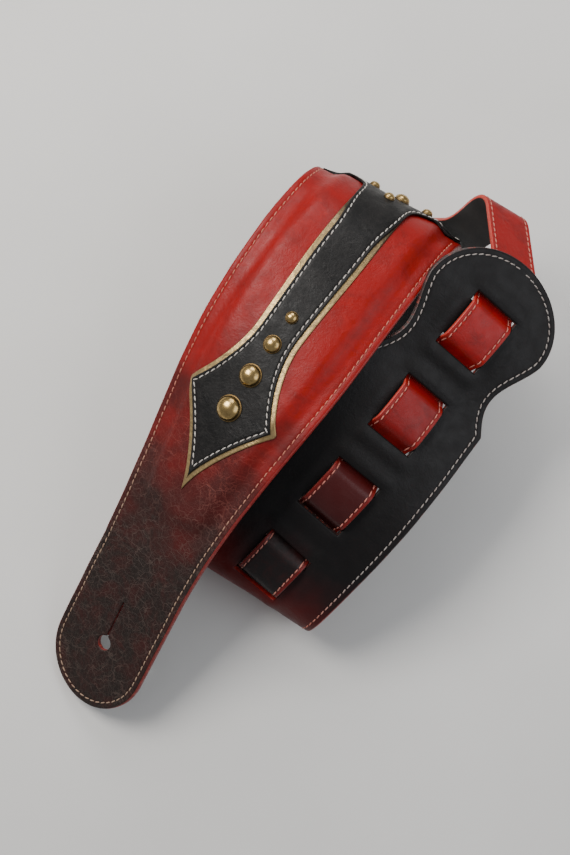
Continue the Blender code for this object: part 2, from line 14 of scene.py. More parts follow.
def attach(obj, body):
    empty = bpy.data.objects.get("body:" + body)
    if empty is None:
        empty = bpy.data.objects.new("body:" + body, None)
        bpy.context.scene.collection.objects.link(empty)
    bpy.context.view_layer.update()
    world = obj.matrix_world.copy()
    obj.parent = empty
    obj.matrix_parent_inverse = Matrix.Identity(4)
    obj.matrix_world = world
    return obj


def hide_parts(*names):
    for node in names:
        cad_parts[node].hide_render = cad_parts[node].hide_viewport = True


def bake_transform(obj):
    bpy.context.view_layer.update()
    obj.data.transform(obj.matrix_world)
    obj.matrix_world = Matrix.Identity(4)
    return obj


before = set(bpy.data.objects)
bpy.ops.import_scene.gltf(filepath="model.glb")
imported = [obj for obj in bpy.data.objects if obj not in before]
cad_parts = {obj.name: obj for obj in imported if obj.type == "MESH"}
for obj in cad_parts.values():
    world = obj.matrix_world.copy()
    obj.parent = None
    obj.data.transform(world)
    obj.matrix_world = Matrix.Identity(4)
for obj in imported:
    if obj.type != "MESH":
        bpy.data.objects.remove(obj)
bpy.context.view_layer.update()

MM = 0.001

# The flat pattern and its bends. They follow the CAD solids, but the slots are closer to the tail
# and the neck before the lobe is softer.
TAB_HALF_WIDTH = 34.5 * MM
TAB_ROUNDING = 35 * MM
TAPER_START = 95 * MM
SHOULDER_START = 270 * MM
SHOULDER_END = 430 * MM
SHOULDER_HALF_WIDTH = 49 * MM
BACK_START = 600 * MM
BACK_HALF_WIDTH = 45.5 * MM
FACE_TOP = 1.9 * MM
LINING_BOTTOM = -1.8 * MM
PAD_START = 132 * MM
PAD_END = 610 * MM
PAD_HEIGHT = 4 * MM
PAD_MARGIN = 10 * MM
PAD_SHOULDER = 9 * MM
PAD_END_SLOPE = 13 * MM
BUTTON_HOLE_RADIUS = 4.75 * MM
BUTTON_HOLE_FROM_TIP = 43 * MM
BUTTON_SLIT_LENGTH = 26 * MM
BUTTON_SLIT_HALF_WIDTH = 0.5 * MM
WINDOW_PITCH = 62 * MM
FIRST_WINDOW = 712.2 * MM
WINDOW_COUNT = 4
WINDOW_HALF_LENGTH = 15.5 * MM
SLOT_HALF_LENGTH = 3.2 * MM
SLOT_PLAY = 0.5 * MM
WEAVE_HALF_LENGTH = 4.4 * MM
TAIL_WAVE = 4.1 * MM
LAST_WINDOW = FIRST_WINDOW + (WINDOW_COUNT - 1) * WINDOW_PITCH
NECK_START = LAST_WINDOW - 45 * MM
NECK_DEPTH = 10 * MM
NECK_LEAN = 0.75
NECK_SQUARENESS = 1.5
LOBE_CENTRE = LAST_WINDOW + 10 * MM
LOBE_END = LAST_WINDOW + 48 * MM
TAIL_HALF_WIDTH = 15 * MM
TAIL_START = FIRST_WINDOW - 22.5 * MM
TAIL_THICKNESS = 2.6 * MM
TAIL_END = LAST_WINDOW + 195 * MM
TAIL_HOLE_FROM_END = 17 * MM
TAIL_SLIT_LENGTH = 18 * MM
SPADE_POINT = 156 * MM
SPADE_CORNER = 215 * MM
SPADE_HALF_WIDTH = 33 * MM
WAIST = 264 * MM
WAIST_HALF_WIDTH = 14.5 * MM
SPADE_HOLLOW = 1.45
WAIST_HOLLOW = 1.9
FLARE_SHARPNESS = 9
BAND_END = 330 * MM
BAND_HALF_WIDTH = 16 * MM
PATCH_START = 389 * MM
PATCH_END = 560 * MM
PATCH_MARGIN = 1.5 * MM
TRIM_WIDTH = 3.2 * MM
APPLIQUE_START = SPADE_POINT + 2.2 * TRIM_WIDTH
UNDERLAY_END = 362 * MM
SPADE_STUDS = ((214, 1, 16), (236, 1, 14), (257, 1, 11), (275, 1, 7.5))
SHOULDER_STUDS = ((387, 5, 10), (387, -14, 7), (373, 0, 7), (389, 22, 7), (402, 5, 7))
STRAP_BENDS = (
    (60, 110, -5.8, -14.1),
    (170, 150, -34.3, 36.8),
    (301, 195, -173, -7.2),
    (636, 71.7, -150.6, -10.3),
    (728, 120, -36.3, 27.9),
    (842, 100, 2.2, 7),
    (850, 24, 12, 0),
    (884, 40, -9, 0),
)
TAIL_SWEEP = (922, 25, -23.5)
TAIL_BENDS = (
    (936.1, 12, -43, 12.5),
    (983.3, 30.6, -113.6, 12.1),
    (1019.3, 15.3, 60, 1.1),
)
FRONT_PITCH = 27.4
FRONT_ROLL = -20.5
COIL_CENTRE = (190.52 * MM, -53.709 * MM, -6.942 * MM)
BEND_STEPS = 120

# Fineness of the visible surface.
ROW_STEP = 2 * MM
EDGE_OFFSETS = np.array((0, 0.12, 0.35, 0.7, 1.2, 1.9, 2.7, 3.3, 3.7, 4.0, 4.3, 4.8, 5.6, 6.8, 8.4)) * MM
LIP_OFFSETS = np.array((0, 0.2, 0.55, 1.1, 2.0, 3.4)) * MM
MID_COLUMNS = 10
CENTRE_COLUMNS = 16
EDGE_RADIUS = 1.3 * MM
LIP_RADIUS = 0.8 * MM
APPLIQUE_RADIUS = 0.45 * MM

# Small relief of the leather: the pad's curved front end, slow unevenness, puffed slots,
# creases, and the arch and crown of the tail in its windows.
PAD_CRESCENT = 0.010 / MM
SWELL_HEIGHT = 0.12 * MM
PUFF_HEIGHT = 1.5 * MM
RIM_HEIGHT = 0.9 * MM
RIM_LENGTH = 15 * MM
CREASE_DEPTH = 0.35 * MM
ARCH_HEIGHT = 0.8 * MM
CROWN_HEIGHT = 0.6 * MM

# Thread: one rounded stitch after another, sunk a little in its groove.
STITCH_INSET = 4 * MM
STITCH_PITCH = 4.1 * MM
STITCH_LENGTH = 3.3 * MM
STITCH_RADIUS = 0.42 * MM
STITCH_LEAN = math.radians(7)
GROOVE_DEPTH = 0.35 * MM
GROOVE_WIDTH = 0.75 * MM
APPLIQUE_STITCH_INSET = 2 * MM

# Studs: the flange's profile as (share of the radius, height in millimetres), then its dome.
STUD_FLANGE = ((0.97, -0.5), (1, -0.1), (1, 0.35), (0.985, 0.55), (0.95, 0.62), (0.92, 0.6))
FLANGE_TOP = 0.62 * MM
DOME_SHARE = 0.915
DOME_RISE = 0.36
DOME_FULLNESS = 0.92
STUD_SEGMENTS = 40

# Layer heights of the applique above the face leather.
UNDERLAY_LIFT = 0.9 * MM
APPLIQUE_LIFT = 2.1 * MM


def smooth(value):
    """Smoothstep of a value held between 0 and 1."""
    value = np.clip(value, 0.0, 1.0)
    return value * value * (3.0 - 2.0 * value)


def blend_over(position, start, end, first, last):
    return first + (last - first) * smooth((position - start) / (end - start))


def hill(value, centre, width):
    """A soft bump of height 1."""
    return np.exp(-(((value - centre) / width) ** 2))


def bend(points, flat, start, length, turn, skew):
    """Roll what lies beyond a line across the strap around a short part of a cylinder."""
    across = np.array((math.cos(skew), -math.sin(skew), 0.0))
    onward = np.array((math.sin(skew), math.cos(skew), 0.0))
    base = start * math.cos(skew)
    steps = np.linspace(0.0, 1.0, BEND_STEPS + 1)
    angles = turn * smooth(steps)
    half_step = 0.5 * length / BEND_STEPS
    advance = np.concatenate(([0.0], np.cumsum(np.cos(angles[1:]) + np.cos(angles[:-1])) * half_step))
    climb = np.concatenate(([0.0], np.cumsum(np.sin(angles[1:]) + np.sin(angles[:-1])) * half_step))
    travelled = flat @ onward - base
    fraction = np.clip(travelled / length, 0.0, 1.0)
    angle = turn * smooth(fraction)
    before = np.minimum(travelled, 0.0)
    beyond = np.maximum(travelled - length, 0.0)
    moved = (points - flat) @ onward
    height = points[:, 2]
    run = base + before + np.interp(fraction, steps, advance) + beyond * math.cos(turn)
    run = run + moved * np.cos(angle) - height * np.sin(angle)
    rise = np.interp(fraction, steps, climb) + beyond * math.sin(turn)
    rise = rise + moved * np.sin(angle) + height * np.cos(angle)
    sideways = points @ across
    return sideways[:, None] * across + run[:, None] * onward + rise[:, None] * np.array((0.0, 0.0, 1.0))


def sweep(points, flat, start, length, turn):
    """Turn what lies beyond a line sideways, within its own plane."""
    steps = np.linspace(0.0, 1.0, BEND_STEPS + 1)
    angles = turn * steps * steps * (3.0 - 2.0 * steps)
    half_step = 0.5 * length / BEND_STEPS
    advance = np.concatenate(([0.0], np.cumsum(np.cos(angles[1:]) + np.cos(angles[:-1])) * half_step))
    drift = np.concatenate(([0.0], np.cumsum(np.sin(angles[1:]) + np.sin(angles[:-1])) * half_step))
    along = flat[:, 1]
    fraction = np.clip((along - start) / length, 0.0, 1.0)
    angle = turn * fraction * fraction * (3.0 - 2.0 * fraction)
    before = np.minimum(along - start, 0.0)
    beyond = np.maximum(along - start - length, 0.0)
    sideways = np.interp(fraction, steps, drift) + beyond * math.sin(turn)
    onward = start + before + np.interp(fraction, steps, advance) + beyond * math.cos(turn)
    moved = points[:, 1] - along
    sideways = sideways + points[:, 0] * np.cos(angle) + moved * np.sin(angle)
    onward = onward - points[:, 0] * np.sin(angle) + moved * np.cos(angle)
    return np.stack((sideways, onward, points[:, 2]), axis=1)


def place(points, with_tail=False):
    """Carry flat points (across, along, height) into the coiled strap."""
    flat = np.asarray(points, dtype=float).reshape(-1, 3)
    points = flat
    if with_tail:
        for start, length, turn, skew in reversed(TAIL_BENDS):
            points = bend(points, flat, start * MM, length * MM, math.radians(turn), math.radians(skew))
        start, length, turn = TAIL_SWEEP
        points = sweep(points, flat, start * MM, length * MM, math.radians(turn))
    for start, length, turn, skew in reversed(STRAP_BENDS):
        points = bend(points, flat, start * MM, length * MM, math.radians(turn), math.radians(skew))
    laid = np.stack((points[:, 1], -points[:, 0], points[:, 2]), axis=1)
    turned = Matrix.Rotation(-math.radians(FRONT_PITCH), 3, "Y") @ Matrix.Rotation(
        math.radians(FRONT_ROLL), 3, "X"
    )
    return laid @ np.array(turned).T - np.array(COIL_CENTRE)


# ---------------------------------------------------------------- the flat pattern


def half_width(along):
    """Half of the main strap's width at a distance along it."""
    along = np.asarray(along, dtype=float)
    width = blend_over(along, TAPER_START, SHOULDER_START, TAB_HALF_WIDTH, SHOULDER_HALF_WIDTH)
    width = width + blend_over(along, SHOULDER_END, BACK_START, 0.0, BACK_HALF_WIDTH - SHOULDER_HALF_WIDTH)
    tip = np.clip(1.0 - along / TAB_ROUNDING, 0.0, 1.0)
    width = width * np.sqrt(1.0 - tip * tip)
    neck = np.clip((along - NECK_START) / (LOBE_CENTRE - NECK_START), 0.0, 1.0)
    width = width - NECK_DEPTH * np.sin(math.pi * neck**NECK_LEAN) ** NECK_SQUARENESS
    lobe = np.clip((along - LOBE_CENTRE) / (LOBE_END - LOBE_CENTRE), 0.0, 1.0)
    return width * np.sqrt(1.0 - lobe * lobe)


def tail_width(along):
    """The tail is straight, with its far end rounded."""
    end = np.clip((np.asarray(along, dtype=float) - TAIL_END + TAIL_HALF_WIDTH) / TAIL_HALF_WIDTH, 0.0, 1.0)
    return TAIL_HALF_WIDTH * np.sqrt(1.0 - end * end)


def spade_width(along):
    """Half width of the applique: spade point, waist, band and the flare into the patch."""
    along = np.asarray(along, dtype=float)
    point = np.clip((along - SPADE_POINT) / (SPADE_CORNER - SPADE_POINT), 0.0, 1.0)
    waist = np.clip((along - SPADE_CORNER) / (WAIST - SPADE_CORNER), 0.0, 1.0)
    width = np.where(
        along < SPADE_CORNER,
        SPADE_HALF_WIDTH * point**SPADE_HOLLOW,
        WAIST_HALF_WIDTH + (SPADE_HALF_WIDTH - WAIST_HALF_WIDTH) * (1.0 - waist) ** WAIST_HOLLOW,
    )
    width = width + blend_over(along, WAIST, BAND_END, 0.0, BAND_HALF_WIDTH - WAIST_HALF_WIDTH)
    flare = np.clip((along - BAND_END) / (PATCH_START - BAND_END), 0.0, 1.0)
    full = half_width(along) - PATCH_MARGIN
    return width + (full - width) * flare**FLARE_SHARPNESS


def applique_width(along):
    """The black leather leaves a border of the metallic underlay showing."""
    bare = 1.0 - smooth((np.asarray(along, dtype=float) - BAND_END) / (UNDERLAY_END - BAND_END))
    return np.maximum(spade_width(along) - TRIM_WIDTH * bare, 0.0)


def pad_rise(across, along):
    """Height that the foam lifts the face leather by, with a rounded crescent at its front end."""
    crescent = PAD_CRESCENT * across**2
    inside = smooth((half_width(along) - PAD_MARGIN - np.abs(across)) / PAD_SHOULDER)
    start = smooth((along - PAD_START - crescent) / PAD_END_SLOPE)
    end = smooth((PAD_END - along) / PAD_END_SLOPE)
    return PAD_HEIGHT * inside * start * end


def swell(across, along):
    """Slow unevenness of hand-worked leather over its padding."""
    x = across / MM
    y = along / MM
    waves = np.sin(0.11 * x + 0.043 * y) + np.sin(0.071 * y - 0.083 * x + 1.7)
    return SWELL_HEIGHT * (waves + np.sin(0.19 * y + 0.05 * x + 0.6))


def slot_puff(across, along):
    """The leather bulges round each slot that the tail is pushed through."""
    rise = 0.0
    for index in range(WINDOW_COUNT):
        centre = FIRST_WINDOW + index * WINDOW_PITCH
        reach = 1.0 - smooth((np.abs(across) - 14 * MM) / (10 * MM))
        for side in (-1, 1):
            outer = centre + side * (WINDOW_HALF_LENGTH + SLOT_HALF_LENGTH + 5 * MM)
            rise = rise + PUFF_HEIGHT * hill(along, outer, 5.5 * MM) * reach
        rim = hill(np.abs(across), TAIL_HALF_WIDTH + 7 * MM, 4 * MM)
        rise = rise + RIM_HEIGHT * rim * hill(along, centre, RIM_LENGTH)
    return rise


def weave(along):
    """Plus one where the tail runs over the strap, minus one where it runs under."""
    along = np.asarray(along, dtype=float)
    side = np.full(along.shape, -1.0)
    for index in range(WINDOW_COUNT):
        centre = FIRST_WINDOW + index * WINDOW_PITCH
        reach = WINDOW_HALF_LENGTH + WEAVE_HALF_LENGTH - np.abs(along - centre)
        side = side + 2.0 * smooth(reach / (2.0 * WEAVE_HALF_LENGTH))
    return side


def tail_middle(across, along):
    """Height of the tail's middle, arched up where it shows in a window."""
    arch = 0.0
    for index in range(WINDOW_COUNT):
        centre = FIRST_WINDOW + index * WINDOW_PITCH
        arch = arch + np.clip(1.0 - ((along - centre) / WINDOW_HALF_LENGTH) ** 2, 0.0, 1.0)
    crown = 1.0 - (across / TAIL_HALF_WIDTH) ** 2
    return TAIL_WAVE * weave(along) + arch * (ARCH_HEIGHT + CROWN_HEIGHT * crown)


def crease(across, along):
    """Creases where the front tab has been folded again and again."""
    deep = hill(along - 0.10 * across, 103 * MM, 1.1 * MM) * smooth((across + 2 * MM) / (9 * MM))
    short = hill(along + 0.2 * across, 96 * MM, 0.9 * MM) * smooth((-across - 12 * MM) / (8 * MM))
    return CREASE_DEPTH * (deep + short)


def strap_top(across, along):
    front = FACE_TOP + pad_rise(across, along) + swell(across, along)
    return front + slot_puff(across, along) - crease(across, along)


def strap_bottom(across, along):
    return LINING_BOTTOM + 0.4 * slot_puff(across, along)


def tail_top(across, along):
    return tail_middle(across, along) + 0.5 * TAIL_THICKNESS


def tail_bottom(across, along):
    return tail_middle(across, along) - 0.5 * TAIL_THICKNESS


def underlay_top(across, along):
    return strap_top(across, along) + UNDERLAY_LIFT


def applique_top(across, along):
    return strap_top(across, along) + APPLIQUE_LIFT


# ---------------------------------------------------------------- fine grids of leather


def keyhole_opening(hole, direction, slit_length):
    """Where a keyhole starts and ends along the strap, and its half width there."""
    slit_end = hole + direction * (BUTTON_HOLE_RADIUS + slit_length)
    near = min(hole - BUTTON_HOLE_RADIUS, slit_end)
    far = max(hole + BUTTON_HOLE_RADIUS, slit_end)

    def gap(along):
        round_part = np.sqrt(np.maximum(BUTTON_HOLE_RADIUS**2 - (along - hole) ** 2, 0.0))
        return np.maximum(round_part, BUTTON_SLIT_HALF_WIDTH)

    return near, far, gap


def slot_openings():
    found = []
    for index in range(WINDOW_COUNT):
        for side in (-1, 1):
            centre = FIRST_WINDOW + index * WINDOW_PITCH + side * WINDOW_HALF_LENGTH
            found.append((centre - SLOT_HALF_LENGTH, centre + SLOT_HALF_LENGTH,
                          lambda along: TAIL_HALF_WIDTH + SLOT_PLAY + 0.0 * along))
    return found


def stations_of(start, end, round_start, round_end, openings):
    """Rows of the grid: even, with fine ones at round ends and at the edges of openings."""
    straight = (start + round_start, end - round_end)
    marks = list(np.arange(*straight, ROW_STEP)) + list(straight)
    turn = np.linspace(0.04, 0.5 * math.pi, 26)
    if round_start > 0.0:
        marks += list(start + round_start * (1.0 - np.cos(0.5 * math.pi - turn[::-1])))
    if round_end > 0.0:
        marks += list(end - round_end * (1.0 - np.sin(0.5 * math.pi - turn)))
    for near, far, _ in openings:
        marks += list(near - LIP_OFFSETS) + list(far + LIP_OFFSETS)
        marks += list(np.linspace(near, far, max(3, int((far - near) / (0.8 * MM)))))
    marks = np.unique(np.round(marks, 7))
    marks = marks[(marks > start + 0.02 * MM) & (marks < end - 0.02 * MM)]
    kept = [marks[0]]
    fixed = np.array([edge for near, far, _ in openings for edge in (near, far)] + [-1.0])
    for mark in marks[1:]:
        is_edge = np.abs(fixed - mark).min() < 1e-6
        if mark - kept[-1] > 0.12 * MM:
            kept.append(mark)
        elif is_edge:
            kept[-1] = mark
    return np.array(kept)


def gap_at(along, width, openings):
    """Half width of the grid's middle columns: as wide as an opening, where there is one."""
    keys = [(-1.0, 8 * MM)]
    for near, far, gap in sorted(openings, key=lambda opening: opening[0]):
        wide = float(np.max(gap(np.linspace(near, far, 20))))
        rest = 8 * MM if wide < 8 * MM else wide
        if near - 14 * MM > keys[-1][0]:
            keys.append((near - 14 * MM, rest))
        keys += [(mark, float(gap(np.array(mark)))) for mark in np.linspace(near, far, 60)]
        keys.append((far + 14 * MM, rest))
    keys.append((2.0, keys[-1][1]))
    keys.sort()
    middle = np.interp(along, [key[0] for key in keys], [key[1] for key in keys])
    return np.minimum(middle, 0.45 * width)


def grid_columns(width, gap):
    """Columns across one row, close together at the edges and at an opening's lips."""
    scale = min(1.0, (width - gap) / (20 * MM))
    edge = width - EDGE_OFFSETS * scale
    lips = gap + LIP_OFFSETS[::-1] * scale
    middle = np.linspace(edge[-1], lips[0], MID_COLUMNS)[1:-1]
    right = np.concatenate((edge, middle, lips))
    centre = np.linspace(gap, -gap, CENTRE_COLUMNS)[1:-1]
    return np.concatenate((right, centre, -right[::-1]))


def edge_tree(points):
    tree = kdtree.KDTree(len(points))
    for index, (across, along) in enumerate(points):
        tree.insert((across, along, 0.0), index)
    tree.balance()
    return tree


def distances(tree, across, along):
    flat = zip(across.ravel(), along.ravel())
    found = np.array([tree.find((x, y, 0.0))[2] for x, y in flat])
    return found.reshape(across.shape)


def outer_edge(width_at, start, end):
    """Points close together round a piece's outline."""
    turn = np.linspace(0.0, math.pi, 9000)
    along = 0.5 * (start + end) - 0.5 * (end - start) * np.cos(turn)
    width = width_at(along)
    points = [(side * w, y) for w, y in zip(width, along) for side in (-1, 1)]
    for mark in (start, end):
        reach = float(width_at(mark))
        points += [(x, mark) for x in np.arange(-reach, reach + 1e-6, 0.2 * MM)]
    return points


def opening_edge(openings):
    points = []
    for near, far, gap in openings:
        along = np.linspace(near, far, 300)
        points += [(side * w, y) for w, y in zip(gap(along), along) for side in (-1, 1)]
        for mark in (near, far):
            reach = float(gap(np.array(mark)))
            points += [(x, mark) for x in np.arange(-reach, reach + 1e-6, 0.1 * MM)]
    return points


def rounding(distance, radius):
    """How far a rounded edge lies below the flat surface beside it."""
    inward = np.clip(1.0 - distance / radius, 0.0, 1.0)
    return radius * (1.0 - np.sqrt(1.0 - inward * inward))


def flat_uv(mesh, across, along):
    """The flat pattern in metres, which the leather's grain and shading follow into every bend."""
    layer = mesh.uv_layers.new(name="flat")
    corners = np.empty(len(mesh.loops), dtype=np.int32)
    mesh.loops.foreach_get("vertex_index", corners)
    layer.data.foreach_set("uv", np.stack((across[corners], along[corners]), axis=1).ravel())


def grid_slab(name, width_at, start, end, round_start, round_end, openings, top, bottom, radius, groove,
              materials, with_tail=False):
    """One closed piece of leather. Materials are those of its face, its back and its edge."""
    along = stations_of(start, end, round_start, round_end, openings)
    width = width_at(along)
    gap = gap_at(along, width, openings)
    across = np.array([grid_columns(w, g) for w, g in zip(width, gap)])
    row_count, column_count = across.shape
    along_grid = np.repeat(along[:, None], column_count, axis=1)
    from_edge = distances(edge_tree(outer_edge(width_at, start, end)), across, along_grid)
    upper = top(across, along_grid) - rounding(from_edge, radius)
    lower = bottom(across, along_grid) + rounding(from_edge, 0.7 * radius)
    if groove > 0.0:
        upper = upper - GROOVE_DEPTH * hill(from_edge, groove, GROOVE_WIDTH)
    cut = np.zeros((row_count - 1, column_count - 1), dtype=bool)
    if openings:
        from_lip = distances(edge_tree(opening_edge(openings)), across, along_grid)
        upper = upper - rounding(from_lip, LIP_RADIUS)
        lower = lower + rounding(from_lip, LIP_RADIUS)
        first = len(EDGE_OFFSETS) + MID_COLUMNS - 2 + len(LIP_OFFSETS) - 1
        middle = 0.5 * (along[1:] + along[:-1])
        for near, far, _ in openings:
            inside = (middle > near) & (middle < far)
            cut[inside, first:first + CENTRE_COLUMNS - 1] = True
    flat_top = np.stack((across, along_grid, upper), axis=2).reshape(-1, 3)
    flat_bottom = np.stack((across, along_grid, lower), axis=2).reshape(-1, 3)
    vertices = place(np.concatenate((flat_top, flat_bottom)), with_tail)
    half = row_count * column_count
    faces = []
    kinds = []
    rows, columns = np.nonzero(~cut)
    edge_columns = 3
    for i, j in zip(rows.tolist(), columns.tolist()):
        a = i * column_count + j
        b = a + 1
        c = b + column_count
        d = a + column_count
        rim = j < edge_columns or j >= column_count - 1 - edge_columns
        faces.append((a, b, c, d))
        kinds.append(2 if rim else 0)
        faces.append((half + d, half + c, half + b, half + a))
        kinds.append(2 if rim else 1)
        for di, dj, p, q in ((-1, 0, b, a), (1, 0, d, c), (0, -1, a, d), (0, 1, c, b)):
            k, m = i + di, j + dj
            outside = k < 0 or m < 0 or k >= row_count - 1 or m >= column_count - 1
            if outside or cut[k, m]:
                faces.append((p, q, half + q, half + p))
                kinds.append(2)
    used = np.unique(np.concatenate([np.array(face) for face in faces]))
    index_of = np.full(2 * half, -1)
    index_of[used] = np.arange(len(used))
    mesh = bpy.data.meshes.new(name)
    mesh.from_pydata(vertices[used].tolist(), [], [tuple(index_of[list(face)].tolist()) for face in faces])
    mesh.polygons.foreach_set("material_index", kinds)
    flat_uv(mesh, np.tile(across.ravel(), 2)[used], np.tile(along_grid.ravel(), 2)[used])
    for material in materials:
        mesh.materials.append(material)
    mesh.shade_smooth()
    return link(name, mesh)


def link(name, mesh):
    item = bpy.data.objects.new(name, mesh)
    bpy.context.scene.collection.objects.link(item)
    return item


# ---------------------------------------------------------------- stitches and studs


def seam_path(width_at, start, end, round_start, round_end, inset):
    """Flat path of a seam inside the right edge, from start to end."""
    along = stations_of(start, end, round_start, round_end, [])
    across = width_at(along)
    step_across = np.gradient(across)
    step_along = np.gradient(along)
    size = np.hypot(step_across, step_along)
    seam = np.stack((across - inset * step_along / size, along + inset * step_across / size), axis=1)
    return seam[seam[:, 0] > 0.0]


def stitches_along(path, skip=()):
    """Middle and heading of each stitch, one pitch apart."""
    steps = np.hypot(*np.diff(path, axis=0).T)
    length = np.concatenate(([0.0], np.cumsum(steps)))
    count = int((length[-1] - STITCH_LENGTH) / STITCH_PITCH)
    marks = 0.5 * STITCH_LENGTH + STITCH_PITCH * np.arange(count + 1)
    middle = np.stack([np.interp(marks, length, path[:, k]) for k in (0, 1)], axis=1)
    ahead = np.stack([np.interp(marks + 0.1 * MM, length, path[:, k]) for k in (0, 1)], axis=1)
    back = np.stack([np.interp(marks - 0.1 * MM, length, path[:, k]) for k in (0, 1)], axis=1)
    heading = ahead - back
    heading = heading / np.hypot(heading[:, 0], heading[:, 1])[:, None]
    clear = np.ones(len(marks), dtype=bool)
    for low, high in skip:
        clear &= (middle[:, 1] < low) | (middle[:, 1] > high)
    return middle[clear], heading[clear]


def stitching(name, paths, top, material, with_tail=False, skip=()):
    """Rounded stitches along flat paths, as one piece of thread work."""
    rings = np.linspace(-1.0, 1.0, 7)
    sides = 8
    turn = 2.0 * math.pi * np.arange(sides) / sides
    spots = []
    faces = []
    for path in paths:
        middles, headings = stitches_along(path, skip)
        for number, (middle, heading) in enumerate(zip(middles, headings)):
            lean = STITCH_LEAN * (1.0 + 0.35 * math.sin(2.4 * number))
            forward = np.array((
                heading[0] * math.cos(lean) - heading[1] * math.sin(lean),
                heading[0] * math.sin(lean) + heading[1] * math.cos(lean),
            ))
            aside = np.array((-forward[1], forward[0]))
            first = len(spots) * sides
            for ring in rings:
                radius = STITCH_RADIUS * math.sqrt(max(1.0 - 0.93 * abs(ring) ** 3, 0.0))
                axis = middle + forward * ring * 0.5 * STITCH_LENGTH
                sink = 0.45 * STITCH_RADIUS * ring * ring
                loop = axis + aside * (radius * np.cos(turn))[:, None]
                level = top(loop[:, 0], loop[:, 1]) + 0.25 * STITCH_RADIUS - sink + radius * np.sin(turn)
                spots.append(np.column_stack((loop, level)))
            for ring in range(len(rings) - 1):
                low = first + ring * sides
                for k in range(sides):
                    m = (k + 1) % sides
                    faces.append((low + k, low + m, low + sides + m, low + sides + k))
            last = first + (len(rings) - 1) * sides
            faces.append(tuple(range(first + sides - 1, first - 1, -1)))
            faces.append(tuple(range(last, last + sides)))
    flat = np.concatenate(spots)
    mesh = bpy.data.meshes.new(name)
    mesh.from_pydata(place(flat, with_tail).tolist(), [], faces)
    flat_uv(mesh, flat[:, 0], flat[:, 1])
    mesh.materials.append(material)
    mesh.shade_smooth()
    return link(name, mesh)


def mirrored(path):
    return np.stack((-path[:, 0], path[:, 1]), axis=1)


def surface_frame(across, along, base):
    """Position and outward direction of the strap's surface."""
    step = 1 * MM
    height = float(base(np.array(across), np.array(along)))
    spots = place([(across, along, height), (across + step, along, height), (across, along + step, height)])
    spot = Vector(spots[0])
    outward = (Vector(spots[1]) - spot).cross(Vector(spots[2]) - spot).normalized()
    return spot, outward


def stud(name, along, across, diameter, material):
    """Domed stud: a thin rolled flange, a small step and a full dome."""
    radius = 0.5 * diameter
    rise = DOME_RISE * diameter
    profile = [(radius * share, height * MM) for share, height in STUD_FLANGE]
    for angle in np.linspace(0.0, 0.5 * math.pi, 14)[:-1]:
        level = FLANGE_TOP + rise * math.sin(angle) ** DOME_FULLNESS
        profile.append((DOME_SHARE * radius * math.cos(angle), level))
    segments = STUD_SEGMENTS
    spots = [(reach * math.cos(t), reach * math.sin(t), height)
             for reach, height in profile for t in np.arange(segments) * 2.0 * math.pi / segments]
    faces = []
    for ring in range(len(profile) - 1):
        for k in range(segments):
            m = (k + 1) % segments
            low = ring * segments
            faces.append((low + k, low + m, low + segments + m, low + segments + k))
    last = (len(profile) - 1) * segments
    top = len(spots)
    spots.append((0.0, 0.0, FLANGE_TOP + rise))
    faces += [(last + k, last + (k + 1) % segments, top) for k in range(segments)]
    faces.append(tuple(range(segments - 1, -1, -1)))
    mesh = bpy.data.meshes.new(name)
    mesh.from_pydata(spots, [], faces)
    mesh.materials.append(material)
    mesh.shade_smooth()
    item = link(name, mesh)
    spot, outward = surface_frame(across, along, applique_top)
    item.rotation_mode = "QUATERNION"
    item.rotation_quaternion = outward.to_track_quat("Z", "Y")
    item.location = spot
    return item


# ---------------------------------------------------------------- materials


